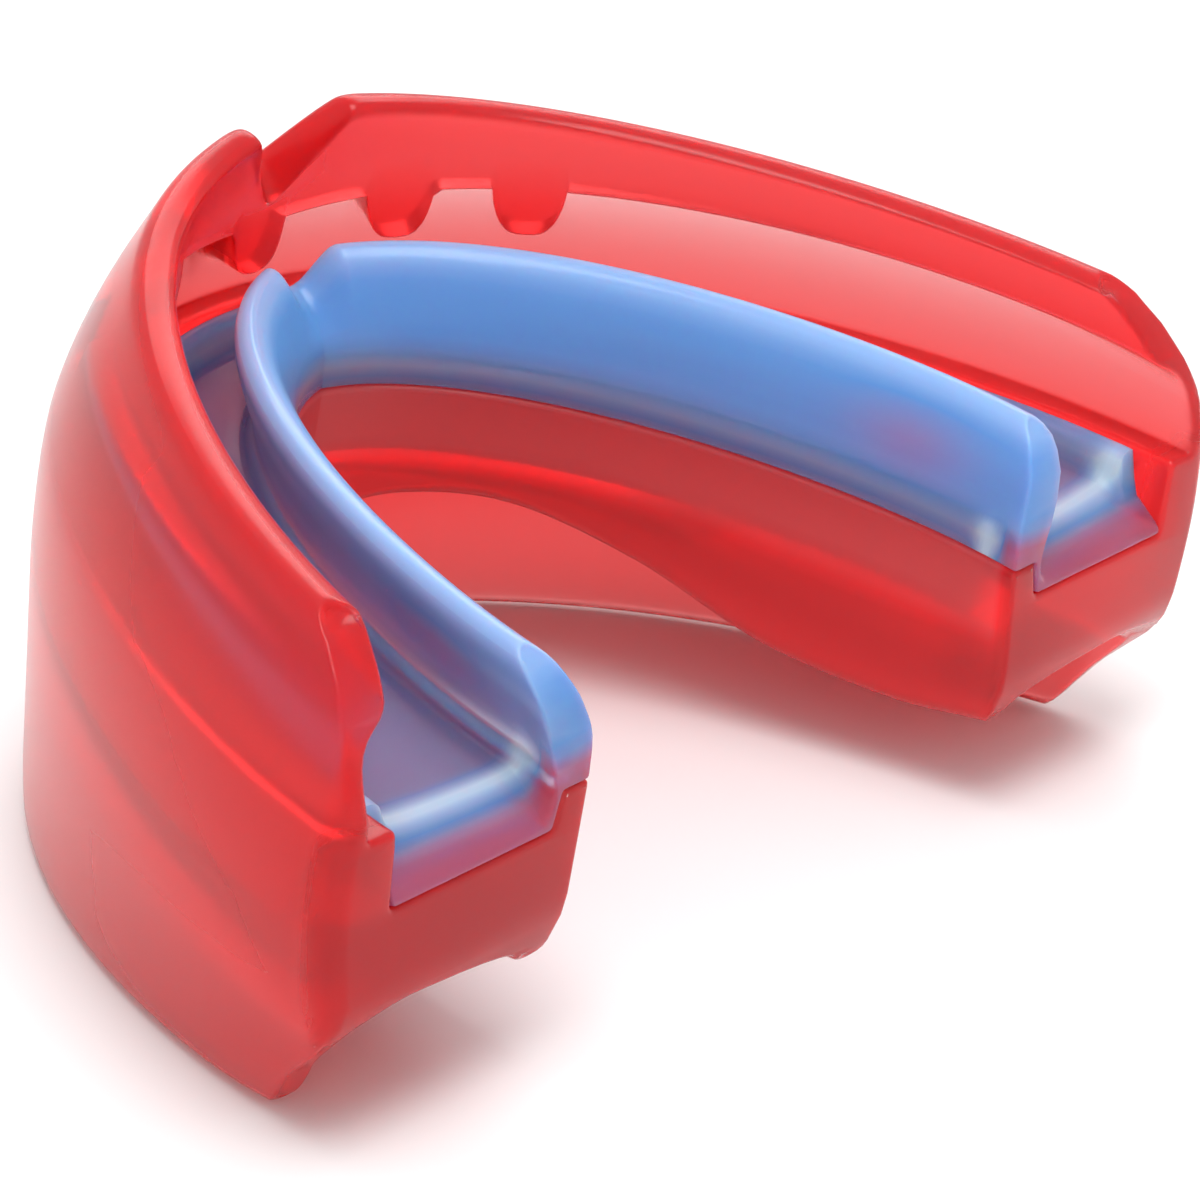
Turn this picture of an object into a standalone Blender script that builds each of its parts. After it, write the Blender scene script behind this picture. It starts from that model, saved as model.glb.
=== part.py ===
"""Mouthguard for contact sports: a red moulded frame, a pale tray set in its bite and a blue fitting liner.

Every piece is one closed cross-section carried along the same dental arch. Lengths below are in millimetres.
"Depth" is measured from the outer face towards the tongue and "height" from the top of the upstand.
"""

import bmesh
import bpy
import numpy as np
from mathutils import Vector
from mathutils.geometry import tessellate_polygon

# The arch, seen from above: the outer face of the frame, from the front tooth to the end of one arm.
HALF_WIDTH = 31.0
ARCH_DEPTH = 44.6
FRONT_REACH = 20.3
CHEEK_REACH = 31.0
CHEEK_START = 16.0

# Heights at the front, the middle and the end of an arm.
RIM_HEIGHT = (12.7, 9.8, 8.0)
RIM_LEAN = (6.7, 4.2, 2.9)
STEP_HEIGHT = (4.9, 5.9, 4.6)
STEP_DEPTH = (5.1, 5.1, 4.4)
SKIRT_LEAN = (-1.2, 0.5, 2.4)
TONGUE_DEPTH = (9.6, 13.3, 15.1)
LINER_TOP = (4.7, 5.1, 4.7)

# The skirt's lower edge is cut level with the table that the piece stands on, with its arms' ends tilted down.
REST_TILT = np.radians(7.5)
SKIRT_FRONT = -22.7
SKIRT_END_RISE = 0.9

# Height of the tongue side's lower edge at equal steps from the front to the end of an arm.
FOOT_HEIGHTS = (-10.5, -9.4, -9.2, -10.9, -13.4, -13.5, -11.9)

# Frame details.
BELLY_HEIGHT = -3.0
WALL_DEPTH = 2.1
UPSTAND_DEPTH = 3.8
TROUGH_FLOOR = -4.2
TONGUE_RIM_HEIGHT = -2.2
TONGUE_RIM_WIDTH = 1.7
SKIRT_THICKNESS = 1.7
BASE_ROOF = (-8.3, -8.7, -9.9)
NOTCH_DEPTH = 4.0
NOTCH_HALF_WIDTH = 4.4
LUG_DROP = 2.4
LUG_HALF_WIDTH = 2.5
LUG_PLACES = (0.0, 10.9, 19.2)

# Tray and the pocket it sits in.
CLEARANCE = 0.3
POCKET_DEPTH = 2.3
POCKET_TOP = -0.9
POCKET_FLOOR = -6.5
TRAY_TOP = -4.25
POCKET_SETBACK = 2.6
POCKET_SLANT = 0.42
TONGUE_LEG_TOP = -2.7
TONGUE_LEG_REACH = 0.5

# Liner.
LINER_FLOOR = -1.9
LINER_BASE = -3.9
LINER_WALL = 1.9
LINER_END_SLOPE = 4.0
LINER_END_DROP = 1.5
LINER_SIDE_DROP = 3.0
LINER_DIP = 2.0
LINER_DIP_HALF_WIDTH = 4.0

# How far each height of an arm's end stands back from its flat end face.
END_HEIGHTS = (-18.0, -16.6, -15.0, -13.4, -11.4, -10.0, -8.6, 1.0, 3.0, 4.6, 6.2, 7.4, 8.3)
END_SETBACKS = (7.6, 6.2, 4.9, 3.6, 1.4, 0.4, 0.0, 0.0, 0.8, 1.7, 3.0, 4.6, 6.4)

ROWS_PER_ARM = 30
RED = (0.78, 0.045, 0.055, 1.0)
PALE_RED = (0.86, 0.42, 0.40, 1.0)
BLUE = (0.12, 0.36, 0.72, 1.0)


def along(values, t):
    """A smooth height or depth from its values at the front, the middle and the end of an arm."""
    front, middle, end = values
    return front * (1 - t) * (1 - 2 * t) + middle * 4 * t * (1 - t) + end * t * (2 * t - 1)


def bump(distance, half_width):
    """1 at the centre, falling smoothly to 0 at half_width."""
    share = np.clip(np.abs(distance) / half_width, 0, 1)
    return (1 - share**2) ** 2


def arch_point(t):
    """Position and inward direction on the right half of the arch, for t from 0 to 1."""
    ends = np.array([(0, -ARCH_DEPTH), (FRONT_REACH, -ARCH_DEPTH), (CHEEK_REACH, -CHEEK_START), (HALF_WIDTH, 0)])
    a, b, c, d = (1 - t) ** 3, 3 * (1 - t) ** 2 * t, 3 * (1 - t) * t**2, t**3
    place = a * ends[0] + b * ends[1] + c * ends[2] + d * ends[3]
    steps = ends[1:] - ends[:-1]
    slope = (1 - t) ** 2 * steps[0] + 2 * (1 - t) * t * steps[1] + t**2 * steps[2]
    slope = slope / np.linalg.norm(slope)
    return place, np.array([-slope[1], slope[0]])


FINE = np.linspace(0, 1, 801)
FINE_PLACES = np.array([arch_point(t)[0] for t in FINE])
FINE_LENGTHS = np.concatenate([[0], np.cumsum(np.linalg.norm(np.diff(FINE_PLACES, axis=0), axis=1))])
ARM_LENGTH = FINE_LENGTHS[-1]


def share_at(length):
    """The arch's t at a distance along it from the front."""
    return float(np.interp(length, FINE_LENGTHS, FINE))


def skirt_height(t):
    """Height of the skirt's lower edge: a level cut, rising a little at the end of an arm."""
    place, inward = arch_point(t)
    back = (place + inward * along(SKIRT_LEAN, t))[1] + ARCH_DEPTH
    return SKIRT_FRONT + np.tan(REST_TILT) * back + SKIRT_END_RISE * np.clip((t - 0.8) / 0.2, 0, 1) ** 2


def outer_depth(z, t):
    """Depth of the outer face: it leans in above its belly and a little below it."""
    top, bottom = along(RIM_HEIGHT, t), skirt_height(t)
    up = np.clip((z - BELLY_HEIGHT) / (top - BELLY_HEIGHT), 0, 1)
    down = np.clip((BELLY_HEIGHT - z) / (BELLY_HEIGHT - bottom), 0, 1)
    return along(RIM_LEAN, t) * up**1.7 + along(SKIRT_LEAN, t) * down**2


def lug_drop(length):
    return LUG_DROP * max(bump(length - place, LUG_HALF_WIDTH) for place in LUG_PLACES)


def frame_section(length, with_pocket):
    """The frame's cross-section as (depth, height), starting at the skirt's outer corner."""
    t = share_at(length)
    notch = NOTCH_DEPTH * max(0.0, 1 - length / NOTCH_HALF_WIDTH)
    rim = along(RIM_HEIGHT, t) - notch
    step = along(STEP_HEIGHT, t)
    lug = step - lug_drop(length)
    skirt = skirt_height(t)
    foot = float(np.interp(length, np.linspace(0, ARM_LENGTH, len(FOOT_HEIGHTS)), FOOT_HEIGHTS))
    roof = along(BASE_ROOF, t)
    tongue = along(TONGUE_DEPTH, t)
    tongue_rim = tongue + 0.9
    points = [(outer_depth(skirt, t) + 0.3, skirt + 0.5)]
    for share in (0.16, 0.36, 0.58, 0.78):
        z = skirt + (BELLY_HEIGHT + 3.0 - skirt) * share
        points.append((outer_depth(z, t), z))
    for share in (0.0, 0.3, 0.55, 0.78):
        z = (rim - 1.1) * share
        points.append((outer_depth(z, t), z))
    rim_outer = outer_depth(rim - 0.9, t)
    points += [(rim_outer, rim - 0.9), (rim_outer + 0.5, rim - 0.15), (rim_outer + 1.1, rim)]
    points += [(rim_outer + 1.8, rim - 0.4), (rim_outer + 2.1, rim - 1.3)]
    band = along(STEP_DEPTH, t)
    points += [(0.5 * (rim_outer + 2.1 + band) + 0.2, 0.5 * (rim + step) - 0.4), (band, step + 0.5)]
    points += [(band - 0.3, lug), (WALL_DEPTH + 0.5 * max(0.0, band - 4.0), lug - 0.4)]
    points += [(WALL_DEPTH, 0.5 * lug), (WALL_DEPTH, 0.0), (UPSTAND_DEPTH - 0.25, 0.0), (UPSTAND_DEPTH, -0.25)]
    inner = tongue_rim - TONGUE_RIM_WIDTH
    pocket_end = inner + TONGUE_LEG_REACH
    if with_pocket:
        points += [(UPSTAND_DEPTH, POCKET_TOP), (POCKET_DEPTH, POCKET_TOP), (POCKET_DEPTH, POCKET_FLOOR)]
        points += [(pocket_end, POCKET_FLOOR), (pocket_end, TONGUE_LEG_TOP)]
    else:
        points += [(UPSTAND_DEPTH, POCKET_TOP), (UPSTAND_DEPTH, POCKET_TOP - 0.4), (UPSTAND_DEPTH, TROUGH_FLOOR)]
        points += [(inner - 1.3, TROUGH_FLOOR), (inner - 0.45, TROUGH_FLOOR)]
    points += [(inner - 0.11, TONGUE_LEG_TOP), (inner, TONGUE_RIM_HEIGHT), (tongue_rim, TONGUE_RIM_HEIGHT)]
    points += [(tongue + 0.4, 0.5 * (TONGUE_RIM_HEIGHT + foot)), (tongue - 0.1, foot + 0.6), (tongue - 0.7, foot)]
    points += [(tongue - 1.5, foot + 0.2), (tongue - 2.3, min(foot + 1.3, roof)), (5.3, roof)]
    points += [(3.9, roof - 1.0), (SKIRT_THICKNESS + 0.6, 0.45 * (roof + skirt))]
    points += [(outer_depth(skirt, t) + SKIRT_THICKNESS, skirt + 1.2), (outer_depth(skirt, t) + 1.0, skirt)]
    return points


def tray_section(length):
    """The tray: a channel under the liner, with a tall leg on the cheek side and a short one by the tongue."""
    inner = along(TONGUE_DEPTH, share_at(length)) + 0.9 - TONGUE_RIM_WIDTH
    outer = POCKET_DEPTH + CLEARANCE
    far = inner + TONGUE_LEG_REACH - CLEARANCE
    bottom = POCKET_FLOOR + CLEARANCE
    leg_top = POCKET_TOP - CLEARANCE
    tongue_top = TONGUE_LEG_TOP - CLEARANCE
    points = [(outer, bottom), (outer, leg_top), (UPSTAND_DEPTH, leg_top), (UPSTAND_DEPTH, TRAY_TOP)]
    return points + [(inner - 0.45, TRAY_TOP), (inner - 0.2, tongue_top), (far, tongue_top), (far, bottom)]


def end_slope(length):
    """0 along the arm, rising smoothly to 1 over the last few millimetres."""
    share = np.clip((length - (ARM_LENGTH - LINER_END_SLOPE)) / LINER_END_SLOPE, 0, 1)
    return share**2 * (1.6 - 0.6 * share)


def liner_section(length):
    """The liner: a channel with a low side against the upstand and a tall side along the tongue."""
    t = share_at(length)
    tongue = along(TONGUE_DEPTH, t)
    face = tongue + 0.9
    inner = face - TONGUE_RIM_WIDTH
    top = along(LINER_TOP, t) - LINER_DIP * bump(length, LINER_DIP_HALF_WIDTH)
    outer = UPSTAND_DEPTH + CLEARANCE
    floor = LINER_FLOOR - LINER_END_DROP * end_slope(length)
    side = -LINER_SIDE_DROP * end_slope(length)
    points = [(outer, LINER_BASE), (outer, side - 0.4), (outer + 0.4, side - 0.1), (outer + 0.9, side - 0.3)]
    points += [(outer + 1.4, min(floor + 0.4, side - 0.35)), (outer + 2.2, floor)]
    points += [(inner - 1.6, floor), (inner - 0.7, floor + 0.5), (inner - 0.5, floor + 2.0)]
    peak = tongue - 1.0
    points += [(peak - LINER_WALL + 0.2, top - 1.0), (peak - 0.5 * LINER_WALL, top), (peak, top - 0.7)]
    points += [(0.5 * (peak + face) + 0.25, 0.5 * top), (face, 0.2), (face, TONGUE_RIM_HEIGHT + CLEARANCE)]
    points += [(inner - 0.25, TONGUE_RIM_HEIGHT + CLEARANCE), (inner - 0.75, LINER_BASE)]
    return points


def end_setback(z):
    return float(np.interp(z, END_HEIGHTS, END_SETBACKS))


def liner_setback(depth, z):
    """The liner's tall side has a rounded upper corner at its end."""
    return float(np.interp(z, (0.5, 2.5, 4.0, 5.0), (0.0, 0.7, 2.2, 4.2)))


def pocket_setback(z):
    """The pocket and the tray end on a slant, further back lower down."""
    return POCKET_SETBACK + POCKET_SLANT * (POCKET_TOP - z)


def tray_setback(depth, z):
    return pocket_setback(z) + 0.35


def row_lengths(last_steps=(0.0,)):
    """Distances along one arm, closer at the front where the notch and lugs are, then the given last steps."""
    shares = np.linspace(0, 1, ROWS_PER_ARM)
    lengths = ARM_LENGTH * (0.72 * shares + 0.28 * shares**2)
    steps = np.array(last_steps)
    return np.concatenate([lengths[lengths < ARM_LENGTH - steps[0] - 1.2], ARM_LENGTH - steps])


def place_point(side, length, depth, z):
    place, inward = arch_point(share_at(length))
    x, y = place + inward * depth
    return (side * x, y, z)


def arm_rows(section, setback, last_steps, side):
    """Rows of points from the front to the end of one arm, each height stopping at its own setback."""
    rows = []
    for length in row_lengths(last_steps):
        row = []
        for index, (_, z) in enumerate(section(ARM_LENGTH)):
            depth, end_z = section(ARM_LENGTH)[index]
            own_length = length * (1 - setback(depth, end_z) / ARM_LENGTH)
            depth, z = section(own_length)[index]
            row.append(place_point(side, own_length, depth, z))
        rows.append(row)
    return rows


def frame_arm_rows(side):
    """The frame's rows: the pocket's own points stop on its slanted end, then lie on the plain trough."""
    pocket = range(22, 27)
    end = frame_section(ARM_LENGTH, False)
    with_pocket = frame_section(ARM_LENGTH - 4.0, True)
    lengths = row_lengths((4.6, 4.3, 2.0, 1.0, 0.0))
    switch = len(lengths) - 5
    rows = []
    for k, length in enumerate(lengths):
        row = []
        for index, (_, z_end) in enumerate(end):
            if index in pocket:
                if k <= switch:
                    stop = ARM_LENGTH - pocket_setback(with_pocket[index][1])
                    own = length * stop / lengths[switch]
                else:
                    start = ARM_LENGTH - pocket_setback(z_end) + 0.3
                    share = (length - lengths[switch + 1]) / (ARM_LENGTH - lengths[switch + 1])
                    own = start + (ARM_LENGTH - start) * share
            else:
                own = length * (1 - end_setback(z_end) / ARM_LENGTH)
            depth, z = frame_section(own, k <= switch)[index]
            row.append(place_point(side, own, depth, z))
        rows.append(row)
    return rows


def whole_rows(make_arm):
    """Both arms as one run of rows, from the left arm's end round the front to the right arm's end."""
    left = make_arm(-1)
    right = make_arm(1)
    return left[:0:-1] + right


def tilted(points, angle):
    """The points turned about the X axis, so that a positive angle lowers the arms' ends."""
    turned = points.copy()
    turned[..., 1] = points[..., 1] * np.cos(angle) + points[..., 2] * np.sin(angle)
    turned[..., 2] = points[..., 2] * np.cos(angle) - points[..., 1] * np.sin(angle)
    return turned


def add_piece(name, rows, end_section, material, place):
    """One closed solid: a strip between each pair of rows and a flat cover over each end."""
    mesh = bpy.data.meshes.new(name)
    body = bmesh.new()
    grid = []
    for row in rows:
        grid.append([body.verts.new(point) for point in place(row)])
    count = len(grid[0])
    for first, second in zip(grid, grid[1:]):
        for i in range(count):
            j = (i + 1) % count
            body.faces.new((first[i], first[j], second[j], second[i]))
    for a, b, c in tessellate_polygon([[Vector((depth, z, 0)) for depth, z in end_section]]):
        body.faces.new((grid[0][a], grid[0][b], grid[0][c]))
        body.faces.new((grid[-1][a], grid[-1][b], grid[-1][c]))
    bmesh.ops.triangulate(body, faces=body.faces[:])
    bmesh.ops.recalc_face_normals(body, faces=body.faces[:])
    body.to_mesh(mesh)
    body.free()
    piece = bpy.data.objects.new(name, mesh)
    bpy.context.collection.objects.link(piece)
    mesh.materials.append(material)
    return piece


def add_material(name, color, roughness, transmission):
    material = bpy.data.materials.new(name)
    material.use_nodes = True
    shader = material.node_tree.nodes["Principled BSDF"]
    shader.inputs["Base Color"].default_value = color
    shader.inputs["Roughness"].default_value = roughness
    shader.inputs["Metallic"].default_value = 0.0
    shader.inputs["Transmission Weight"].default_value = transmission
    return material


def clear_scene():
    for thing in list(bpy.data.objects):
        bpy.data.objects.remove(thing)


def build():
    clear_scene()
    frame_rows = whole_rows(frame_arm_rows)
    tray_rows = whole_rows(lambda side: arm_rows(tray_section, tray_setback, (0.0,), side))
    liner_rows = whole_rows(lambda side: arm_rows(liner_section, liner_setback, (4.0, 3.0, 2.0, 1.0, 0.4, 0.0), side))
    resting = tilted(np.array(frame_rows), REST_TILT).reshape(-1, 3)
    middle = 0.5 * (resting[:, 1].min() + resting[:, 1].max())
    shift = np.array([0.0, middle, resting[:, 2].min()])

    def place(row):
        """A row's points in metres, standing on the table with the bounding box centred over the origin."""
        return (tilted(np.array(row), REST_TILT) - shift) * 0.001

    red = add_material("red_moulding", RED, 0.25, 0.4)
    pale = add_material("pale_tray", PALE_RED, 0.3, 0.4)
    blue = add_material("blue_gel", BLUE, 0.2, 0.5)
    add_piece("shock_frame", frame_rows, frame_section(ARM_LENGTH, False), red, place)
    add_piece("bite_tray", tray_rows, tray_section(ARM_LENGTH - 4.0), pale, place)
    add_piece("fit_liner", liner_rows, liner_section(ARM_LENGTH), blue, place)


build()
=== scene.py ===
"""Mouthguard for contact sports: a red moulded frame, a pale tray set in its bite and a blue fitting liner.

Each piece is one rounded cross-section carried along the dental arch. Lengths are in millimetres until a
piece is placed. "Depth" is measured from the outer face towards the tongue, and "height" or z from the top of
the upstand, the low wall between the upper trough and the cheek.
"""

import math

import bmesh
import bpy
import numpy as np
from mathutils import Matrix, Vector
from mathutils.geometry import tessellate_polygon


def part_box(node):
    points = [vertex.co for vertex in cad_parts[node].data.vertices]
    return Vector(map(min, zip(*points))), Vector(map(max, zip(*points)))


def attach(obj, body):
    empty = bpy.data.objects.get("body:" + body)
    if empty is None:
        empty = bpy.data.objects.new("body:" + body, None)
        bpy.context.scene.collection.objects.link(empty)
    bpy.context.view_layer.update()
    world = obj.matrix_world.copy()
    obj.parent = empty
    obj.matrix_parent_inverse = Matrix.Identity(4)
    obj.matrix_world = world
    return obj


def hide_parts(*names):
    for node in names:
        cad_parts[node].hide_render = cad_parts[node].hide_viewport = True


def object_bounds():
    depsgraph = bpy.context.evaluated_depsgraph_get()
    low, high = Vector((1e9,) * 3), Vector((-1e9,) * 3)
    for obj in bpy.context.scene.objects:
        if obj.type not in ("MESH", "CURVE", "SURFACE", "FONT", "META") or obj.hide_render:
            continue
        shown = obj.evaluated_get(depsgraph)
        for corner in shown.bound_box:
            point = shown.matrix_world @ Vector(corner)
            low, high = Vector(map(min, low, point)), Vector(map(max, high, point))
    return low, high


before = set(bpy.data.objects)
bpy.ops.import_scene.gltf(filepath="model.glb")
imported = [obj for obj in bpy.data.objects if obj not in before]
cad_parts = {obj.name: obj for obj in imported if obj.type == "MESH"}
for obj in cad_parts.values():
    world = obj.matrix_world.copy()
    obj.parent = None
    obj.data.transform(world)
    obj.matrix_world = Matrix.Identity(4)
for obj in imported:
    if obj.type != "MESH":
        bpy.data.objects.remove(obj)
cad_low, cad_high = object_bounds()

MM = 0.001

# The arch, seen from above: the outer face of the frame, from the front tooth to the end of one arm.
HALF_WIDTH = 31.0
ARCH_DEPTH = 44.6
FRONT_REACH = 20.3
CHEEK_REACH = 31.0
CHEEK_START = 16.0
REST_TILT = math.radians(7.5)

# Heights and depths at the front, the middle and the end of an arm.
RIM_HEIGHT = (12.7, 9.8, 8.0)
RIM_LEAN = (6.7, 4.2, 2.9)
STEP_HEIGHT = (4.9, 6.0, 5.0)
STEP_DEPTH = (5.1, 5.1, 4.4)
STEP_ROUNDING = (0.35, 0.6, 1.6)
STEP_SLOPE = (0.0, 0.1, 1.4)
SKIRT_LEAN = (-1.2, 0.5, 2.4)
TONGUE_DEPTH = (9.6, 13.3, 15.1)
LINER_TOP = (4.7, 5.1, 4.7)
BASE_ROOF = (-8.3, -8.7, -9.9)
FOOT_HEIGHTS = (-10.5, -9.4, -9.2, -10.9, -13.4, -13.5, -11.9)

# Frame details.
BELLY_HEIGHT = -3.0
WALL_DEPTH = 2.1
UPSTAND_DEPTH = 3.8
TROUGH_FLOOR = -4.2
TONGUE_RIM_HEIGHT = -2.2
TONGUE_RIM_WIDTH = 1.7
SKIRT_THICKNESS = 1.7
SKIRT_FRONT = -22.7
SKIRT_END_RISE = 0.9
CREST_WIDTH = 2.1
END_EDGE_TURN = 0.9
END_EDGE_RUN = 1.5
NOTCH_DEPTH = 4.3
NOTCH_HALF_WIDTH = 4.3
NOTCH_INNER_SHARE = 1.45
LUG_DROP = 2.6
LUG_HALF_WIDTH = 2.3
LUG_PLACES = (0.0, 10.9, 19.2)

# The tray and the pocket that it fills.
POCKET_DEPTH = 2.3
POCKET_TOP = -0.9
POCKET_FLOOR = -6.5
POCKET_SETBACK = 2.6
POCKET_SLANT = 0.42
TONGUE_LEG_TOP = -2.65
TONGUE_LEG_REACH = 0.5
TRAY_GAP = 0.06
TRAY_TOP = -4.25

# The liner.
LINER_GAP = 0.03
LINER_FLOOR = -1.9
LINER_BASE = -4.15
LINER_WALL = 1.9
LINER_END_SLOPE = 3.4
LINER_END_DROP = 1.9
LINER_SIDE_END = 2.7
LINER_SIDE_RUN = 0.7
LINER_DIP = 2.0
LINER_DIP_HALF_WIDTH = 4.0

# How far each height of an arm's end stands back from its flat end face.
END_HEIGHTS = (-18.0, -16.6, -15.0, -13.4, -11.4, -10.0, -8.6, 1.0, 3.0, 4.6, 6.2, 7.4, 8.3)
END_SETBACKS = (7.6, 6.2, 4.9, 3.6, 1.4, 0.4, 0.0, 0.0, 0.8, 1.7, 3.0, 4.6, 6.4)
FIN_HEIGHTS = (0.5, 2.5, 4.0, 5.0)
FIN_SETBACKS = (0.0, 0.7, 2.2, 4.2)
SETBACK_RUN = 20.0

# Share of milky scatter in the red moulding: over most of it, on the tongue side, low on the outer wall and
# at the flat ends of the arms.
FRAME_CLOUD = 0.27
FRAME_CLOUD_TONGUE = 0.45
FRAME_CLOUD_LOW = 0.06
FRAME_CLOUD_END = 0.62
# The regions below also set where the frame's colour is painted: darker as painted shade at the arms' ends,
# low on the outer wall and low on the tongue side, and paler as painted light on the tongue side above its
# painted-light height. The extra scatter low on the outer wall goes with its painted shade.
TONGUE_SIDE_DEPTH = 8.0
LOW_WALL_HEIGHT = -8.5
LOW_WALL_DEPTH = 3.0
TONGUE_PAINTED_LIGHT_HEIGHT = -8.0
END_FACE_REACH = 2.0

# Share of milky scatter in the gel's tall side and floor, and the places where its colour changes. At the
# crest near each arm's end, the extra scatter and the paler colour are a painted highlight.
GEL_CLOUD_TALL = 0.74
GEL_CLOUD_FLOOR = 0.24
GEL_TAIL = 3.0
GEL_TAIL_CLOUD = 0.2
GEL_CREST_HIGHLIGHT_CLOUD = 0.35
GEL_BELLY_HEIGHT = 1.4
GEL_BELLY_CLEARING = 0.2
GEL_FOOT_HEIGHT = -0.9
GEL_CREST_HIGHLIGHT_BACK = 3.3
GEL_BLUSH_BACK = 2.1
GEL_PATCH_BACK = 11.0
GEL_PATCH_HEIGHT = 1.8

# How finely the surfaces are drawn, and how the edges of the end faces are rounded.
CORNER_STEPS = 5
ROW_SPACING = 0.55
NOTCH_ROW_SPACING = 0.22
SMALLEST_SPACING = 0.045
END_ROW_COUNT = 52
EDGE_ROUNDING = 0.35
EDGE_STEPS = 4
GEL_EDGE_SHARE = 0.5
POCKET_SWITCH = 4.3
SHARP_EDGE = math.radians(50)

# A corner with this rounding is drawn as one curve from the middle of an edge to the middle of the next.
SOFT = 100.0

# Surface detail. The slow change of gloss follows the flow of the melt, about 9 mm across. The skin's ripple
# is about 0.1 mm on a real moulding and is drawn at 0.9 mm, or it wouldn't show.
FLOW_MARK = 9.0
SKIN_RIPPLE = 0.9
RIPPLE_HEIGHT = 0.006
RIPPLE_STRENGTH = 0.25
GLOW_DEPTH = 2.5
GLOW_BY_COLOUR = (1.0, 0.35, 0.35)

# Thermoplastic elastomer, injection moulded clear red in a polished mould. Light goes through it and grows
# redder with depth, a little pigment makes it milky, and its skin has soft, slightly wavy highlights. Its IOR
# is set below the usual 1.45, because it is bonded to the tray and the gel and shows no bright inner gaps.
# Its darker milk colour is painted shade at the flat ends of the arms, low on the outer wall and low on the
# tongue side, and its paler milk colour is painted light high on the tongue side.
RED_ELASTOMER = {
    "tint": "FFF4F4",
    "milk": "F03840",
    "thin_and_shaded_milk": "B82A2E",
    "painted_light_milk": "FF6468",
    "absorb": "FF1018",
    "density": 820.0,
    "gloss": (0.08, 0.12),
    "haze": 0.26,
    "ior": 1.3,
}

# EVA, moulded pale pink with a matt skin. It scatters light like wax, so that it shows through the red as a
# lighter band with soft edges.
PALE_EVA = {
    "tint": "FFF4F2",
    "milk": "FFB0A8",
    "cloud": 0.9,
    "absorb": "FF7070",
    "density": 150.0,
    "gloss": (0.25, 0.35),
    "haze": 0.3,
    "ior": 1.2,
}

# Silicone gel, cast blue. It is soft and satin and milky where it is thick. Its colour is painted paler in a
# band along the foot of its tall side, as a painted highlight on the floor's crest near each arm's end, and
# as painted light along the top and the trough side of its tall side. Where it runs out thin, the red under
# it turns it mauve.
BLUE_GEL = {
    "tint": "EAF4FF",
    "milk": "66A0E0",
    "thin_and_shaded_milk": "CC5C78",
    "painted_light_milk": "CDE8FF",
    "absorb": "78B8FF",
    "density": 35.0,
    "gloss": (0.15, 0.25),
    "haze": 0.2,
    "ior": 1.33,
}

# The camera: degrees and millimetres. The aim is measured from the centre of the object's box.
CAMERA_AZIMUTH = 134.0
CAMERA_ELEVATION = 25.57
CAMERA_DISTANCE = 228.4
CAMERA_AIM = (-3.14, 6.757, -5.143)
CAMERA_LENS = 136.2
SENSOR_WIDTH = 36.0

# The room.
FLOOR_SIZE = 3.0
FLOOR_GAP = 0.0002
ROOM_BRIGHTNESS = 0.85
LIGHT_DISTANCE = 350.0


def along(values, t):
    """A smooth height or depth from its values at the front, the middle and the end of an arm."""
    front, middle, end = values
    return front * (1 - t) * (1 - 2 * t) + middle * 4 * t * (1 - t) + end * t * (2 * t - 1)


def smooth_step(share):
    """0 up to 0, 1 from 1, and an even curve between."""
    share = np.clip(share, 0, 1)
    return share * share * (3 - 2 * share)


def arch_point(t):
    """Position and inward direction on half of the arch, for t from 0 at the front to 1 at the arm's end."""
    a = (0, -ARCH_DEPTH)
    b = (FRONT_REACH, -ARCH_DEPTH)
    c = (CHEEK_REACH, -CHEEK_START)
    d = (HALF_WIDTH, 0)
    ends = np.array([a, b, c, d])
    near = (1 - t) ** 3 * ends[0] + 3 * (1 - t) ** 2 * t * ends[1]
    far = 3 * (1 - t) * t**2 * ends[2] + t**3 * ends[3]
    steps = ends[1:] - ends[:-1]
    slope = (1 - t) ** 2 * steps[0] + 2 * (1 - t) * t * steps[1] + t**2 * steps[2]
    slope = slope / np.linalg.norm(slope)
    return near + far, np.array([-slope[1], slope[0]])


FINE = np.linspace(0, 1, 801)
FINE_PLACES = np.array([arch_point(t)[0] for t in FINE])
FINE_LENGTHS = np.concatenate([[0], np.cumsum(np.linalg.norm(np.diff(FINE_PLACES, axis=0), axis=1))])
FINE_INWARD = np.array([arch_point(t)[1] for t in FINE])
ARM_LENGTH = FINE_LENGTHS[-1]


def share_at(length):
    """The arch's t at a distance along it from the front."""
    return float(np.interp(length, FINE_LENGTHS, FINE))


def skirt_height(t):
    """Height of the skirt's lower edge: a level cut, rising a little at the end of an arm."""
    place, inward = arch_point(t)
    back = (place + inward * along(SKIRT_LEAN, t))[1] + ARCH_DEPTH
    return SKIRT_FRONT + math.tan(REST_TILT) * back + SKIRT_END_RISE * np.clip((t - 0.8) / 0.2, 0, 1) ** 2


def foot_height(length):
    """Height of the tongue side's lower edge: a smooth curve through its values at equal steps."""
    place = np.clip(length / ARM_LENGTH, 0, 1) * (len(FOOT_HEIGHTS) - 1)
    k = int(min(place, len(FOOT_HEIGHTS) - 2))
    u = place - k
    before, a, b, after = (FOOT_HEIGHTS[min(max(k + i, 0), len(FOOT_HEIGHTS) - 1)] for i in (-1, 0, 1, 2))
    if k == 0:
        before = b
    bend = (2 * before - 5 * a + 4 * b - after) * u + (3 * (a - b) + after - before) * u * u
    return a + 0.5 * u * (b - before + bend)


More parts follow.
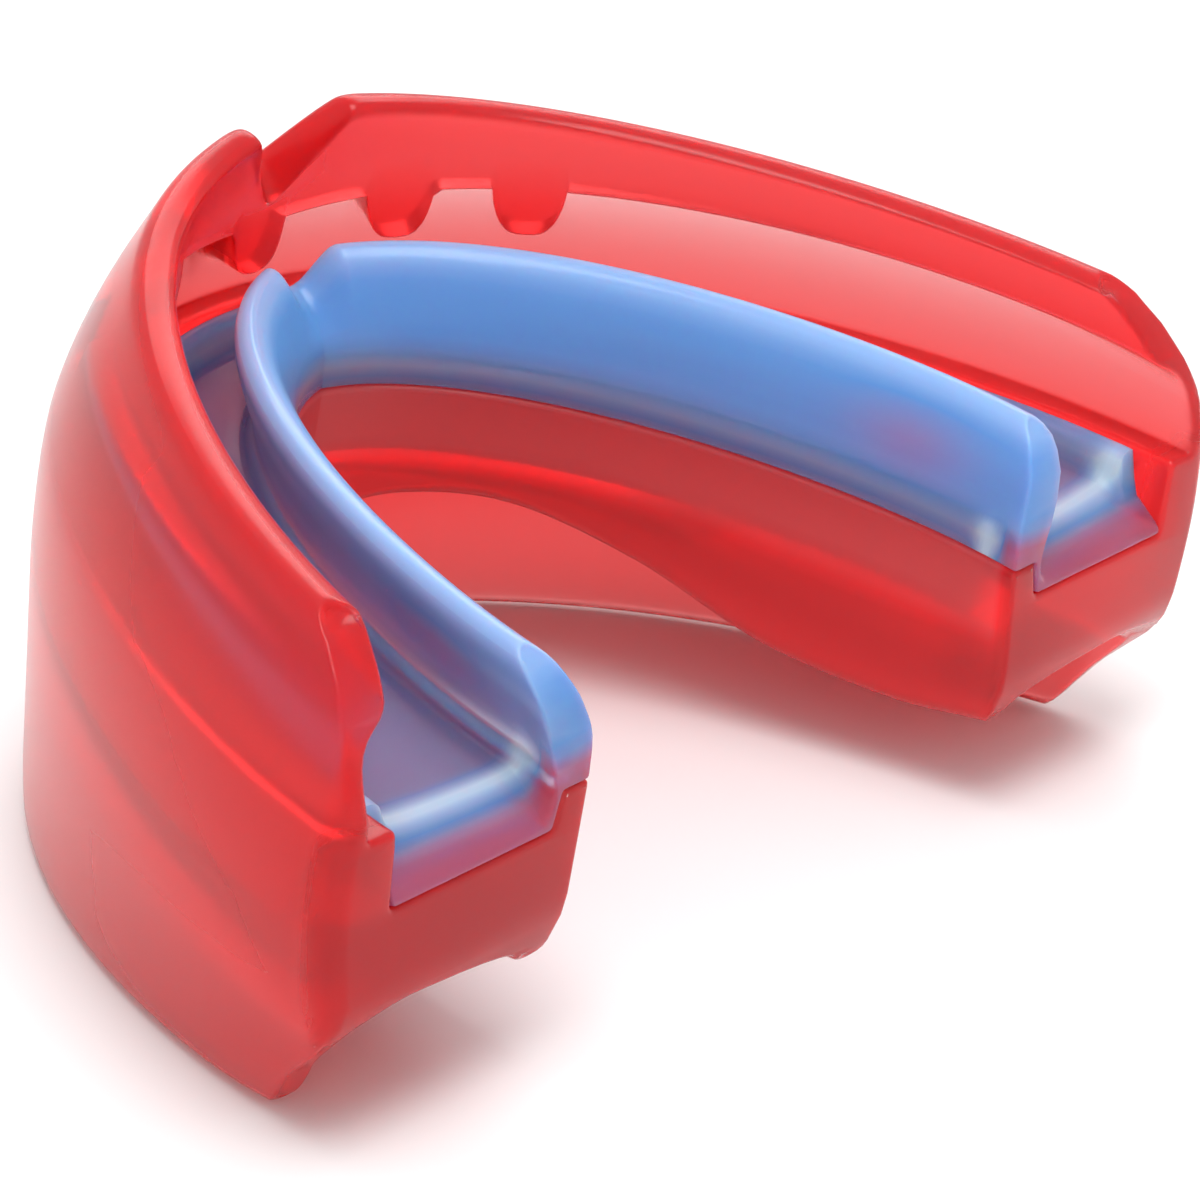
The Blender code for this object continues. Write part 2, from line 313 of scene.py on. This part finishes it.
def outer_depth(z, t):
    """Depth of the outer face: it leans in above its belly and a little below it."""
    top, bottom = along(RIM_HEIGHT, t), skirt_height(t)
    up = np.clip((z - BELLY_HEIGHT) / (top - BELLY_HEIGHT), 0, 1)
    down = np.clip((BELLY_HEIGHT - z) / (BELLY_HEIGHT - bottom), 0, 1)
    return along(RIM_LEAN, t) * up**1.7 + along(SKIRT_LEAN, t) * down**2


def notch_drop(length):
    """The front notch: straight sides with a small round at the bottom and at each shoulder."""
    side = NOTCH_HALF_WIDTH - length
    round_bottom = math.sqrt(length * length + 0.25) - 0.5
    straight = NOTCH_HALF_WIDTH - round_bottom
    shoulder = 0.5 * (straight + math.sqrt(straight * straight + 0.35)) if side > -2.5 else 0.0
    fade = smooth_step((NOTCH_HALF_WIDTH + 2.2 - length) / 2.2)
    return NOTCH_DEPTH * shoulder * float(fade) / NOTCH_HALF_WIDTH


def lug_drop(length):
    """How far the row of rounded tabs under the band hangs down here."""
    distance = min(abs(length - place) for place in LUG_PLACES)
    share = min(distance / LUG_HALF_WIDTH, 1.0)
    return LUG_DROP * (1 - share**3.2) ** 0.7


def frame_corners(length, with_pocket):
    """The frame's cross-section as (depth, height, rounding), starting at the skirt's outer corner."""
    t = share_at(length)
    notch = notch_drop(length)
    rim = along(RIM_HEIGHT, t) - notch
    rim_inner = along(RIM_HEIGHT, t) - NOTCH_INNER_SHARE * notch
    step = along(STEP_HEIGHT, t)
    lug = step - lug_drop(length)
    skirt = skirt_height(t)
    foot = foot_height(length)
    roof = along(BASE_ROOF, t)
    tongue = along(TONGUE_DEPTH, t)
    tongue_rim = tongue + 0.9
    skirt_outer = outer_depth(skirt, t)
    turn = END_EDGE_TURN * max(0.0, (length - ARM_LENGTH + END_EDGE_RUN) / END_EDGE_RUN) ** 2
    corners = [(skirt_outer + 0.15 + 0.5 * turn, skirt + 0.1, 0.5)]
    for share in (0.1, 0.25, 0.42, 0.6, 0.78):
        z = skirt + (BELLY_HEIGHT + 3.0 - skirt) * share
        corners.append((outer_depth(z, t) + turn, z, SOFT))
    for share in (0.0, 0.25, 0.5, 0.72, 0.88):
        z = (rim - 1.0) * share
        corners.append((outer_depth(z, t) + turn, z, SOFT))
    rim_outer = outer_depth(rim - 0.3, t)
    crest_inner = rim_outer + CREST_WIDTH
    corners += [(rim_outer, rim - 0.05, 0.55), (rim_outer + 0.9, rim + 0.35, SOFT)]
    corners += [(crest_inner, rim_inner - 0.1, 0.7)]
    band = along(STEP_DEPTH, t)
    middle = 0.5 * (rim_inner + step)
    corners += [(0.62 * crest_inner + 0.38 * band + 0.15, middle + 1.1, SOFT), (band, step + 0.9, SOFT)]
    rounding = along(STEP_ROUNDING, t)
    slope = along(STEP_SLOPE, t)
    corners += [(band - 0.1, lug - 0.1, rounding)]
    corners += [(WALL_DEPTH + 0.2, lug + 0.15 - slope, 0.7 + 0.6 * slope)]
    corners += [(WALL_DEPTH, 0.4 * (lug - slope), SOFT), (WALL_DEPTH, 0.0, 0.3), (UPSTAND_DEPTH, 0.0, 0.4)]
    inner = tongue_rim - TONGUE_RIM_WIDTH
    pocket_end = inner + TONGUE_LEG_REACH
    if with_pocket:
        corners += [(UPSTAND_DEPTH, POCKET_TOP, 0.05), (POCKET_DEPTH, POCKET_TOP, 0.5)]
        corners += [(POCKET_DEPTH, POCKET_FLOOR, 0.5), (pocket_end, POCKET_FLOOR, 0.5)]
        corners += [(pocket_end, TONGUE_LEG_TOP, 0.2)]
    else:
        corners += [(UPSTAND_DEPTH, POCKET_TOP, 0.05), (UPSTAND_DEPTH, POCKET_TOP - 0.8, 0.05)]
        corners += [(UPSTAND_DEPTH, TROUGH_FLOOR, 0.3), (inner - 1.3, TROUGH_FLOOR, 0.05)]
        corners += [(inner - 0.45, TROUGH_FLOOR, 0.3)]
    corners += [(inner - 0.11, TONGUE_LEG_TOP, 0.05), (inner, TONGUE_RIM_HEIGHT, 0.2)]
    corners += [(tongue_rim, TONGUE_RIM_HEIGHT, 0.4)]
    corners += [(tongue + 0.45, 0.5 * (TONGUE_RIM_HEIGHT + foot), SOFT), (tongue - 0.05, foot + 0.1, 0.9)]
    corners += [(tongue - 1.5, foot + 0.1, SOFT), (tongue - 2.3, min(foot + 1.3, roof), SOFT)]
    corners += [(5.3, roof, 1.2), (3.9, roof - 1.0, SOFT)]
    corners += [(SKIRT_THICKNESS + 0.6, 0.45 * (roof + skirt), SOFT)]
    corners += [(skirt_outer + SKIRT_THICKNESS, skirt + 0.9, SOFT), (skirt_outer + 1.3, skirt - 0.05, 0.5)]
    return corners


# The pocket's own corners in that list.
FRAME_POCKET = range(21, 26)


def tray_corners(length):
    """The tray: a channel round the liner's base, with legs on the cheek side and the tongue side."""
    inner = along(TONGUE_DEPTH, share_at(length)) + 0.9 - TONGUE_RIM_WIDTH
    outer = POCKET_DEPTH + TRAY_GAP
    far = inner + TONGUE_LEG_REACH - TRAY_GAP
    bottom = POCKET_FLOOR + TRAY_GAP
    leg_top = POCKET_TOP - TRAY_GAP
    tongue_top = TONGUE_LEG_TOP - TRAY_GAP
    corners = [(outer, bottom, 0.5), (outer, leg_top, 0.5), (UPSTAND_DEPTH - 0.02, leg_top, 0.15)]
    corners += [(UPSTAND_DEPTH - 0.02, TRAY_TOP, 0.2), (inner - 0.45, TRAY_TOP, 0.1)]
    return corners + [(inner - 0.08, tongue_top, 0.1), (far, tongue_top, 0.2), (far, bottom, 0.5)]


def end_slope(length):
    """0 along the arm, rising to 1 over the last few millimetres, where the floor of the liner runs out."""
    return np.clip((length - (ARM_LENGTH - LINER_END_SLOPE)) / LINER_END_SLOPE, 0, 1) ** 1.25


def liner_corners(length):
    """The liner: a channel with a low side against the upstand and a tall side along the tongue."""
    t = share_at(length)
    tongue = along(TONGUE_DEPTH, t)
    face = tongue + 0.9
    inner = face - TONGUE_RIM_WIDTH
    dip = (1 - min(length / LINER_DIP_HALF_WIDTH, 1.0) ** 2) ** 2
    top = along(LINER_TOP, t) - LINER_DIP * dip
    outer = UPSTAND_DEPTH + LINER_GAP
    floor = LINER_FLOOR - LINER_END_DROP * end_slope(length)
    cut = smooth_step((length - (ARM_LENGTH - LINER_SIDE_END)) / LINER_SIDE_RUN)
    side = -0.05 + (floor + 0.2) * cut
    corners = [(outer, LINER_BASE, 0.3), (outer, side, 0.35), (outer + 0.9, side - 0.1, 0.4)]
    corners += [(outer + 1.5, min(floor + 0.3, side - 0.12), SOFT), (outer + 2.4, floor, SOFT)]
    corners += [(inner - 1.7, floor, SOFT), (inner - 0.65, floor + 0.45, SOFT)]
    corners += [(inner - 0.5, floor + 2.2, SOFT)]
    peak = tongue - 1.0
    corners += [(peak - LINER_WALL + 0.15, top - 1.0, SOFT), (peak - 0.55 * LINER_WALL, top + 0.15, SOFT)]
    corners += [(peak + 0.15, top - 0.35, SOFT), (0.5 * (peak + face) + 0.25, 0.5 * top, SOFT)]
    corners += [(face, 0.2, SOFT)]
    corners += [(face - 0.05, TONGUE_RIM_HEIGHT + LINER_GAP, 0.3)]
    corners += [(inner - LINER_GAP, TONGUE_RIM_HEIGHT + LINER_GAP, 0.15), (inner - 0.5, LINER_BASE, 0.3)]
    return corners


def rounded(corners):
    """The closed outline with each corner replaced by an arc."""
    points = np.array([corner[:2] for corner in corners])
    before = np.roll(points, 1, axis=0) - points
    after = np.roll(points, -1, axis=0) - points
    length_before = np.linalg.norm(before, axis=1)
    length_after = np.linalg.norm(after, axis=1)
    outline = []
    for k, (_, _, rounding) in enumerate(corners):
        reach_before = min(rounding, 0.5 * length_before[k])
        reach_after = min(rounding, 0.5 * length_after[k])
        start = points[k] + before[k] * reach_before / max(length_before[k], 1e-6)
        end = points[k] + after[k] * reach_after / max(length_after[k], 1e-6)
        for step in range(CORNER_STEPS):
            u = (step + 0.03) / (CORNER_STEPS - 0.94)
            outline.append((1 - u) ** 2 * start + 2 * u * (1 - u) * points[k] + u * u * end)
    return np.array(outline)


def shrunk(outline, inset):
    """The outline drawn inwards by the inset, measured square to each of its sides."""
    ahead = np.roll(outline, -1, axis=0) - np.roll(outline, 1, axis=0)
    ahead = ahead / np.maximum(np.linalg.norm(ahead, axis=1)[:, None], 1e-9)
    inward = np.stack([ahead[:, 1], -ahead[:, 0]], axis=1)
    after = np.roll(outline, -1, axis=0)
    area = 0.5 * np.sum(outline[:, 0] * after[:, 1] - after[:, 0] * outline[:, 1])
    return outline + inward * inset * (1 if area < 0 else -1)


def row_lengths():
    """Distances along one arm: evenly spaced, closer at the front notch, the lugs and the arm's end."""
    lengths = list(np.arange(0.0, ARM_LENGTH - SETBACK_RUN, ROW_SPACING))
    lengths += list(np.arange(0.0, NOTCH_HALF_WIDTH + 2.5, NOTCH_ROW_SPACING))
    for place in LUG_PLACES:
        reach = LUG_HALF_WIDTH * np.sin(np.linspace(0, 0.5 * np.pi, 9))
        lengths += list(place - reach) + list(place + reach)
    lengths += list(np.linspace(ARM_LENGTH - SETBACK_RUN, ARM_LENGTH - EDGE_ROUNDING, END_ROW_COUNT)[:-1])
    kept = [0.0]
    for length in sorted(lengths):
        if length - kept[-1] > SMALLEST_SPACING:
            kept.append(length)
    return np.array(kept)


ROWS = row_lengths()
ARC = np.linspace(0, 0.5 * np.pi, EDGE_STEPS + 1)
END_ROWS = ARM_LENGTH - EDGE_ROUNDING * (1 - np.sin(ARC))
END_INSETS = EDGE_ROUNDING * (1 - np.cos(ARC))
LENGTHS = np.concatenate([ROWS, END_ROWS])
INSETS = np.concatenate([np.zeros(len(ROWS)), END_INSETS])


def end_setback(z):
    return np.interp(z, END_HEIGHTS, END_SETBACKS)


def fin_setback(z):
    """The liner's tall side has a rounded upper corner at its end."""
    return np.interp(z, FIN_HEIGHTS, FIN_SETBACKS)


def pocket_setback(z):
    """The pocket ends on a slant, further back lower down."""
    return POCKET_SETBACK + POCKET_SLANT * (POCKET_TOP - z)


def tray_setback(z):
    return pocket_setback(z) + TRAY_GAP


def sampled(table, owns):
    """One outline whose points are each read from their own distance along the arm."""
    index = np.clip(np.searchsorted(LENGTHS, owns, side="right") - 1, 0, len(LENGTHS) - 2)
    share = ((owns - LENGTHS[index]) / (LENGTHS[index + 1] - LENGTHS[index]))[:, None]
    column = np.arange(table.shape[1])
    return table[index, column] * (1 - share) + table[index + 1, column] * share


def placed(side, owns, outline):
    """The outline's points on the arch as (x, y, height, length along the arm, depth)."""
    t = np.interp(owns, FINE_LENGTHS, FINE)
    across = np.interp(t, FINE, FINE_PLACES[:, 0]) + outline[:, 0] * np.interp(t, FINE, FINE_INWARD[:, 0])
    back = np.interp(t, FINE, FINE_PLACES[:, 1]) + outline[:, 0] * np.interp(t, FINE, FINE_INWARD[:, 1])
    return np.stack([side * across, back, outline[:, 1], owns, outline[:, 0]], axis=1)


def drawn_back(length, setback, run=SETBACK_RUN):
    """Each point's own distance along the arm, so that the last row stops at its setback."""
    return length - setback * smooth_step((length - (ARM_LENGTH - SETBACK_RUN)) / run)


def arm_rows(corners_at, setback, side, edge_share=1.0):
    """Rows of points from the front to an arm's end, the last ones rounding the edge of the end face."""
    table = np.array([rounded(corners_at(length)) for length in LENGTHS])
    back = setback(table[-1][:, 1])
    rows = []
    for length, inset in zip(LENGTHS, INSETS):
        owns = drawn_back(length, back)
        rows.append(placed(side, owns, shrunk(sampled(table, owns), inset * edge_share)))
    return rows


def frame_arm_rows(side):
    """The frame's rows: the pocket's own points stop on its slanted end, then lie on the plain trough."""
    hollow = np.array([rounded(frame_corners(length, True)) for length in LENGTHS])
    plain = np.array([rounded(frame_corners(length, False)) for length in LENGTHS])
    back = end_setback(plain[-1][:, 1])
    in_pocket = np.isin(np.arange(len(back)) // CORNER_STEPS, FRAME_POCKET)
    switch = int(np.searchsorted(LENGTHS, ARM_LENGTH - POCKET_SWITCH))
    short = ARM_LENGTH - LENGTHS[switch]
    hollow_back = np.where(in_pocket, pocket_setback(hollow[-1][:, 1]) - short, back)
    run = np.where(in_pocket, SETBACK_RUN - short, SETBACK_RUN)
    plain_start = ARM_LENGTH - pocket_setback(plain[-1][:, 1]) + 0.1
    rows = []
    for k, (length, inset) in enumerate(zip(LENGTHS, INSETS)):
        if k <= switch:
            owns = drawn_back(length, hollow_back, run)
            outline = sampled(hollow, owns)
        else:
            share = (length - LENGTHS[switch + 1]) / (ARM_LENGTH - LENGTHS[switch + 1])
            on_trough = plain_start + (ARM_LENGTH - plain_start) * share
            owns = np.where(in_pocket, on_trough, drawn_back(length, back))
            outline = sampled(plain, owns)
        rows.append(placed(side, owns, shrunk(outline, inset)))
    return rows


def near_end(length, reach, run):
    """0 along the arm, rising to 1 over a short run that starts at the given reach from its end."""
    return smooth_step((length - (ARM_LENGTH - reach)) / run)


def bump_at(value, middle, width):
    """A smooth bump: 1 at the middle, falling away over the width."""
    return np.exp(-(((value - middle) / width) ** 2))


def frame_regions(length, z, depth):
    """How far each point lies on an end face, on the tongue side and low on the outer wall, from 0 to 1."""
    end = near_end(length, END_FACE_REACH, 1.6) * smooth_step((1.5 - z) / 2.0)
    tongue = smooth_step((depth - TONGUE_SIDE_DEPTH) / 2.0)
    low = smooth_step((LOW_WALL_HEIGHT - z) / 3.0) * (1 - smooth_step(depth - LOW_WALL_DEPTH))
    return end, tongue, low


def frame_cloud(length, z, depth):
    """How milky the red looks: more on the tongue side and most at the flat ends of the arms."""
    end, tongue, low = frame_regions(length, z, depth)
    side = FRAME_CLOUD + (FRAME_CLOUD_TONGUE - FRAME_CLOUD) * tongue + FRAME_CLOUD_LOW * low
    return np.maximum(side, FRAME_CLOUD_END * end)


def frame_painted_shade_and_light(length, z, depth):
    """Painted shade and painted light: 0, painted shade, at the flat ends of the arms, 0.5 over most of the
    frame, lower as painted shade low on the outer wall and low on the tongue side, and near 1, painted light,
    high on the tongue side.
    """
    end, tongue, low = frame_regions(length, z, depth)
    upper = smooth_step((z - TONGUE_PAINTED_LIGHT_HEIGHT) / 2.5)
    return (0.5 + tongue * (0.68 * upper - 0.25) - 0.1 * low) * (1 - end)


def gel_cloud(length, z, depth):
    """How milky the gel looks: most in the tall side, less in the floor, more again in the floor's end, where
    the extra milk at the crest is part of a painted highlight.
    """
    tall = smooth_step((z + 1.5) / 2.5)
    level = GEL_CLOUD_FLOOR + (GEL_CLOUD_TALL - GEL_CLOUD_FLOOR) * tall
    belly = bump_at(z, GEL_BELLY_HEIGHT, 1.5) * smooth_step((length - 12.0) / 22.0)
    crest_highlight = bump_at(length, ARM_LENGTH - GEL_CREST_HIGHLIGHT_BACK, 1.0)
    floor_end = GEL_TAIL_CLOUD * near_end(length, GEL_TAIL, GEL_TAIL) + GEL_CREST_HIGHLIGHT_CLOUD * crest_highlight
    return level * (1 - GEL_BELLY_CLEARING * belly) + floor_end * (1 - tall)


def gel_shade(length, z, depth):
    """0 where the red shows mauve through thin gel, 0.5 where it looks blue, 1 where it is palest: a painted
    highlight on the floor's crest near the arm's end, with painted light along the top of the tall side and
    on its trough side.
    """
    tall = smooth_step((z + 1.2) / 1.6)
    shade = 0.36 + 0.14 * tall
    shade = shade + 0.38 * bump_at(z, GEL_FOOT_HEIGHT, 0.55)
    # Painted light: the top of the tall side is painted paler.
    shade = shade + 0.08 * smooth_step((z - 3.2) / 1.5)
    # Painted highlight: the floor's crest near the arm's end is painted paler.
    shade = shade + 0.6 * bump_at(length, ARM_LENGTH - GEL_CREST_HIGHLIGHT_BACK, 1.0) * (1 - tall)
    # Painted light: the trough side of the tall side is painted paler.
    tongue = along(TONGUE_DEPTH, np.interp(length, FINE_LENGTHS, FINE))
    shade = shade + 0.07 * smooth_step((tongue - 0.4 - depth) / 0.6) * tall
    patch = bump_at(length, ARM_LENGTH - GEL_PATCH_BACK, 4.5) * bump_at(z, GEL_PATCH_HEIGHT, 1.6)
    blush = near_end(length, GEL_BLUSH_BACK, 0.9) * (1 - tall)
    return np.clip((shade - 0.19 * patch) * (1 - blush), 0, 1)


def whole_rows(make_arm):
    """Both arms as one run of rows, from the left arm's end round the front to the right arm's end."""
    left = make_arm(-1)
    right = make_arm(1)
    return np.array(left[:0:-1] + right)


def tilted(points):
    """The points turned about the X axis, lowering the arms' ends onto the table."""
    turned = points.copy()
    turned[..., 1] = points[..., 1] * math.cos(REST_TILT) + points[..., 2] * math.sin(REST_TILT)
    turned[..., 2] = points[..., 2] * math.cos(REST_TILT) - points[..., 1] * math.sin(REST_TILT)
    return turned


def add_piece(name, rows, end_outline, material, stand, marks=None):
    """One closed mesh riding on the root: a strip between each pair of rows and a flat cover over each end.

    Marks are named values kept at each point, worked out from its length along the arm, height and depth.
    """
    count = rows.shape[1]
    points = (tilted(rows)[..., :3] * MM + stand).reshape(-1, 3)
    faces = []
    for row in range(len(rows) - 1):
        for i in range(count):
            j = (i + 1) % count
            faces.append((row * count + i, row * count + j, (row + 1) * count + j, (row + 1) * count + i))
    last = (len(rows) - 1) * count
    for a, b, c in tessellate_polygon([[Vector((depth, z, 0)) for depth, z in end_outline]]):
        faces.append((a, b, c))
        faces.append((last + a, last + b, last + c))
    mesh = bpy.data.meshes.new(name)
    mesh.from_pydata(points.tolist(), [], faces)
    body = bmesh.new()
    body.from_mesh(mesh)
    bmesh.ops.recalc_face_normals(body, faces=body.faces[:])
    body.to_mesh(mesh)
    body.free()
    for mark, rule in (marks or {}).items():
        values = rule(rows[..., 3].ravel(), rows[..., 2].ravel(), rows[..., 4].ravel())
        mesh.attributes.new(mark, "FLOAT", "POINT").data.foreach_set("value", values)
    mesh.shade_smooth()
    mesh.set_sharp_from_angle(angle=SHARP_EDGE)
    piece = bpy.data.objects.new(name, mesh)
    bpy.context.collection.objects.link(piece)
    mesh.materials.append(material)
    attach(piece, "root")
    return piece


def linear(code):
    """A linear colour from an sRGB hex code."""
    parts = [int(code[i:i + 2], 16) / 255 for i in (0, 2, 4)]
    return tuple(p / 12.92 if p <= 0.04045 else ((p + 0.055) / 1.055) ** 2.4 for p in parts) + (1.0,)


def add_node(tree, kind, settings=None, **links):
    """One shader node with its settings; each link joins a named input to another node's output."""
    node = tree.nodes.new(kind)
    for key, value in (settings or {}).items():
        if key in node.inputs:
            node.inputs[key].default_value = value
        else:
            setattr(node, key, value)
    for key, source in links.items():
        tree.links.new(source, node.inputs[key.replace("_", " ")])
    return node


def empty_material(name):
    material = bpy.data.materials.new(name)
    material.use_nodes = True
    material.node_tree.nodes.clear()
    return material, material.node_tree


def moulding_detail(tree, gloss):
    """Slow changes of roughness between the two gloss values, and the faint ripple of a moulded skin."""
    place = add_node(tree, "ShaderNodeTexCoord").outputs["Object"]
    flow = add_node(tree, "ShaderNodeTexNoise", {"Scale": 1 / (FLOW_MARK * MM), "Detail": 2.0},
                    Vector=place)
    roughness = add_node(tree, "ShaderNodeMapRange", {"To Min": gloss[0], "To Max": gloss[1]},
                         Value=flow.outputs["Fac"])
    ripple = add_node(tree, "ShaderNodeTexNoise", {"Scale": 1 / (SKIN_RIPPLE * MM), "Detail": 3.0},
                      Vector=place)
    bump = add_node(tree, "ShaderNodeBump", {"Strength": RIPPLE_STRENGTH, "Distance": RIPPLE_HEIGHT * MM},
                    Height=ripple.outputs["Fac"])
    return roughness.outputs["Result"], bump.outputs["Normal"]


def translucent_moulding(name, tint, milk, absorb, density, gloss, haze, ior, cloud=None,
                         thin_and_shaded_milk=None, painted_light_milk=None):
    """Clear plastic with a tint in its depth, mixed with the soft scatter of its pigment.

    The share of scatter is the cloud value, or the mesh's own "cloud" where none is given. Where the two
    extra milk colours are given, the mesh's "shade" picks between them and the plain milk: the darker one is
    for thin gel and for painted shade on the frame, and the paler one is painted light and painted highlight.
    """
    material, tree = empty_material(name)
    sheen, normal = moulding_detail(tree, gloss)
    clear = add_node(tree, "ShaderNodeBsdfPrincipled", {
        "Base Color": linear(tint), "Transmission Weight": 1.0, "IOR": ior, "Roughness": haze},
        Normal=normal)
    cloudy = add_node(tree, "ShaderNodeBsdfPrincipled", {
        "Base Color": linear(milk), "Subsurface Weight": 1.0, "Subsurface Radius": GLOW_BY_COLOUR,
        "Subsurface Scale": GLOW_DEPTH * MM, "IOR": ior}, Roughness=sheen, Normal=normal)
    mixed = add_node(tree, "ShaderNodeMixShader")
    if cloud is None:
        cloud_map = add_node(tree, "ShaderNodeAttribute", {"attribute_name": "cloud"})
        tree.links.new(cloud_map.outputs["Fac"], mixed.inputs["Fac"])
    else:
        mixed.inputs["Fac"].default_value = cloud
    # The ramp paints the milk colour: darker for thin gel and for painted shade on the frame, paler for
    # painted light and painted highlights.
    if thin_and_shaded_milk:
        shade_map = add_node(tree, "ShaderNodeAttribute", {"attribute_name": "shade"})
        ramp = add_node(tree, "ShaderNodeValToRGB", Fac=shade_map.outputs["Fac"])
        ramp.color_ramp.elements[0].color = linear(thin_and_shaded_milk)
        ramp.color_ramp.elements[1].color = linear(painted_light_milk)
        ramp.color_ramp.elements.new(0.5).color = linear(milk)
        tree.links.new(ramp.outputs["Color"], cloudy.inputs["Base Color"])
    tree.links.new(clear.outputs["BSDF"], mixed.inputs[1])
    tree.links.new(cloudy.outputs["BSDF"], mixed.inputs[2])
    depth = add_node(tree, "ShaderNodeVolumeAbsorption", {"Color": linear(absorb), "Density": density})
    add_node(tree, "ShaderNodeOutputMaterial", Surface=mixed.outputs["Shader"],
             Volume=depth.outputs["Volume"])
    return material


def direction(azimuth, elevation):
    """From the object towards an angle round it, with 0 at the front, and an angle above the floor."""
    a = math.radians(azimuth)
    e = math.radians(elevation)
    return Vector((math.sin(a) * math.cos(e), -math.cos(a) * math.cos(e), math.sin(e)))


def add_light(name, azimuth, elevation, size_mm, watts):
    data = bpy.data.lights.new(name, "AREA")
    data.shape = "RECTANGLE"
    data.size = size_mm[0] * MM
    data.size_y = size_mm[1] * MM
    data.energy = watts
    light = bpy.data.objects.new(name, data)
    bpy.context.collection.objects.link(light)
    back = direction(azimuth, elevation)
    light.location = back * LIGHT_DISTANCE * MM
    light.rotation_euler = back.to_track_quat("Z", "Y").to_euler()


def add_camera():
    data = bpy.data.cameras.new("camera")
    data.lens = CAMERA_LENS
    data.sensor_width = SENSOR_WIDTH
    data.clip_start = 0.01
    camera = bpy.data.objects.new("camera", data)
    bpy.context.collection.objects.link(camera)
    back = direction(CAMERA_AZIMUTH, CAMERA_ELEVATION)
    centre = 0.5 * (Vector(cad_low) + Vector(cad_high))
    camera.location = centre + Vector(CAMERA_AIM) * MM + back * CAMERA_DISTANCE * MM
    camera.rotation_euler = back.to_track_quat("Z", "Y").to_euler()
    bpy.context.scene.camera = camera


def add_floor():
    """Matt white card, pressed smooth: pale, even and without gloss."""
    bpy.ops.mesh.primitive_plane_add(size=FLOOR_SIZE, location=(0, 0, cad_low[2] - FLOOR_GAP))
    floor = bpy.context.object
    floor.name = "floor"
    material, tree = empty_material("pressed_white_card")
    card = add_node(tree, "ShaderNodeBsdfPrincipled", {"Base Color": linear("EAEAEA"), "Roughness": 0.9})
    add_node(tree, "ShaderNodeOutputMaterial", Surface=card.outputs["BSDF"])
    floor.data.materials.append(material)


def light_room():
    world = bpy.data.worlds.new("studio")
    bpy.context.scene.world = world
    world.use_nodes = True
    world.node_tree.nodes["Background"].inputs["Color"].default_value = (1, 1, 1, 1)
    world.node_tree.nodes["Background"].inputs["Strength"].default_value = ROOM_BRIGHTNESS
    bpy.context.scene.view_settings.view_transform = "Standard"
    add_light("top_softbox", 150, 72, (190, 190), 0.86)
    add_light("back_softbox", 314, 40, (300, 160), 0.4)


def resting_place(rows):
    """The shift that sets the tilted frame in the middle of its box, with its skirt on the floor."""
    resting = (tilted(rows)[..., :3] * MM).reshape(-1, 3)
    low = resting.min(axis=0)
    high = resting.max(axis=0)
    box_low, box_high = (np.array(corner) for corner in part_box("shock_frame"))
    stand = 0.5 * (box_low + box_high) - 0.5 * (low + high)
    stand[2] = box_low[2] - low[2]
    return stand


def build():
    rows = whole_rows(frame_arm_rows)
    stand = resting_place(rows)
    end = shrunk(rounded(frame_corners(ARM_LENGTH, False)), EDGE_ROUNDING)
    red = translucent_moulding("moulded_red_elastomer", **RED_ELASTOMER)
    piece = add_piece("moulded_frame", rows, end, red, stand, {"cloud": frame_cloud, "shade": frame_painted_shade_and_light})
    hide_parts("shock_frame")

    rows = whole_rows(lambda side: arm_rows(tray_corners, tray_setback, side))
    end = shrunk(rounded(tray_corners(ARM_LENGTH)), EDGE_ROUNDING)
    pale = translucent_moulding("moulded_pale_eva", **PALE_EVA)
    piece = add_piece("inner_tray", rows, end, pale, stand)
    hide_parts("bite_tray")

    rows = whole_rows(lambda side: arm_rows(liner_corners, fin_setback, side, GEL_EDGE_SHARE))
    end = shrunk(rounded(liner_corners(ARM_LENGTH)), EDGE_ROUNDING * GEL_EDGE_SHARE)
    blue = translucent_moulding("cast_blue_gel", **BLUE_GEL)
    piece = add_piece("gel_liner", rows, end, blue, stand, {"cloud": gel_cloud, "shade": gel_shade})
    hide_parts("fit_liner")


add_camera()
add_floor()
light_room()
build()
